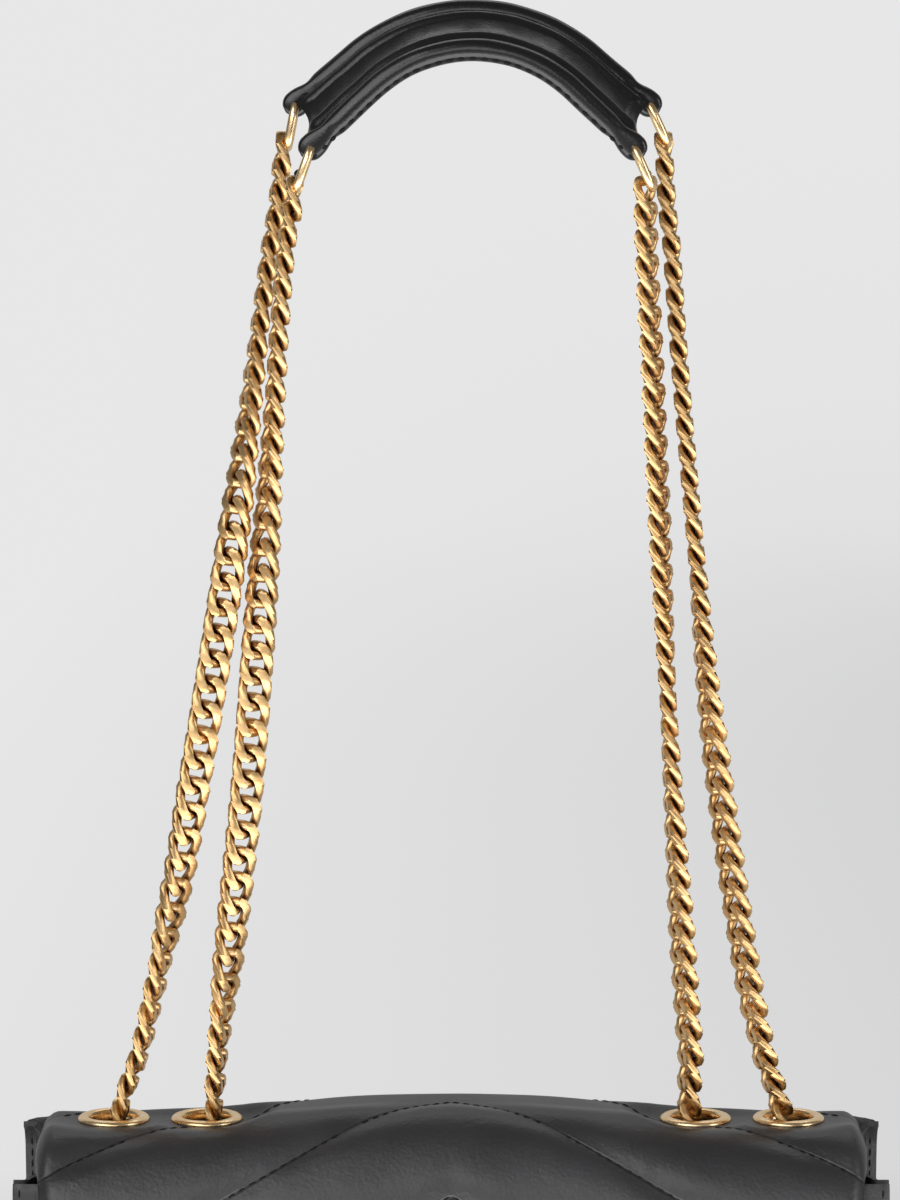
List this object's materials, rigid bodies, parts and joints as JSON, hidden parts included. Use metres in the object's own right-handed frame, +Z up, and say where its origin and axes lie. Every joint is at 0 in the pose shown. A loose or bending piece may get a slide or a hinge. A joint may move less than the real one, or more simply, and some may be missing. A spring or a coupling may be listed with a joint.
{
  "type": "chain shoulder bag",
  "caption": "Small quilted leather flap bag with gusseted sides, roof eyelets and a doubled curb chain strap that carries an arched, padded shoulder piece.",
  "frame": {"origin": "under the middle of the base, on the face that it stands on", "axes": "+X along the bag to the right seen from the front, -Y is the front with the flap, +Z is up"},
  "size_m": [0.23, 0.08, 0.4636],
  "materials": {
    "quilted_leather": "satin black lambskin, quilted",
    "gloss_leather": "glossy black calf leather",
    "lining_cloth": "black woven lining",
    "board": "stiff fibre board",
    "gold_metal": "polished gold-toned",
    "gold_zip": "polished gold-toned",
    "magnet_plate": "plated"
  },
  "bodies": {
    "bag": {"front_panel": "quilted_leather", "back_panel": "quilted_leather", "gusset_left": "quilted_leather", "gusset_right": "quilted_leather", "base_panel": "quilted_leather", "base_board": "board", "lining": "lining_cloth", "zip_tape": "lining_cloth", "zip_coil": "gold_zip", "magnet_socket": "magnet_plate", "chain_inside_left": "gold_metal", "chain_inside_right": "gold_metal", "eyelet_outer_left": "gold_metal", "eyelet_inner_left": "gold_metal", "eyelet_inner_right": "gold_metal", "eyelet_outer_right": "gold_metal", "washer_outer_left": "gold_metal", "washer_inner_left": "gold_metal", "washer_inner_right": "gold_metal", "washer_outer_right": "gold_metal"},
    "flap_top": {"flap_top": "quilted_leather", "flap_lining_top": "lining_cloth"},
    "flap_front": {"flap_front": "quilted_leather", "flap_lining_front": "lining_cloth", "magnet_stud": "magnet_plate"},
    "strap_lower": {"strand_outer_left_lower": "gold_metal", "strand_inner_left_lower": "gold_metal", "strand_inner_right_lower": "gold_metal", "strand_outer_right_lower": "gold_metal"},
    "strap_middle": {"strand_outer_left_middle": "gold_metal", "strand_inner_left_middle": "gold_metal", "strand_inner_right_middle": "gold_metal", "strand_outer_right_middle": "gold_metal"},
    "strap_upper": {"strand_outer_left_upper": "gold_metal", "strand_inner_left_upper": "gold_metal", "strand_inner_right_upper": "gold_metal", "strand_outer_right_upper": "gold_metal", "pad_roll_back": "gloss_leather", "pad_roll_front": "gloss_leather", "pad_web": "gloss_leather", "pad_tab_back_left": "gloss_leather", "pad_tab_back_right": "gloss_leather", "pad_tab_front_left": "gloss_leather", "pad_tab_front_right": "gloss_leather", "ring_back_left": "gold_metal", "ring_back_right": "gold_metal", "ring_front_left": "gold_metal", "ring_front_right": "gold_metal"},
    "zip_slider": {"zip_slider": "gold_zip"},
    "zip_puller": {"zip_puller": "gold_zip"}
  },
  "joints": [
    {"name": "flap_hinge", "type": "hinge", "parent": "bag", "child": "flap_top", "pos_m": [0, -0.0023, 0.165], "axis": [-1, 0, 0], "range_deg": [0, 92]},
    {"name": "flap_fold", "type": "hinge", "parent": "flap_top", "child": "flap_front", "pos_m": [0, -0.01666, 0.15966], "axis": [-1, 0, 0], "range_deg": [0, 75]},
    {"name": "strap_swing", "type": "hinge", "parent": "bag", "child": "strap_lower", "pos_m": [0, 0.008, 0.1715], "axis": [-1, 0, 0], "range_deg": [-85, 85]},
    {"name": "strap_lower_fold", "type": "hinge", "parent": "strap_lower", "child": "strap_middle", "pos_m": [0, 0.008, 0.215], "axis": [-1, 0, 0], "range_deg": [-85, 85]},
    {"name": "strap_upper_fold", "type": "hinge", "parent": "strap_middle", "child": "strap_upper", "pos_m": [0, 0.008, 0.33], "axis": [1, 0, 0], "range_deg": [-70, 70]},
    {"name": "zip_slide", "type": "slide", "parent": "bag", "child": "zip_slider", "axis": [1, 0, 0], "range_m": [0, 0.128]},
    {"name": "zip_puller_swing", "type": "hinge", "parent": "zip_slider", "child": "zip_puller", "pos_m": [-0.064, 0.01966, 0.10746], "axis": [-1, 0, 0], "range_deg": [0, 150]}
  ]
}
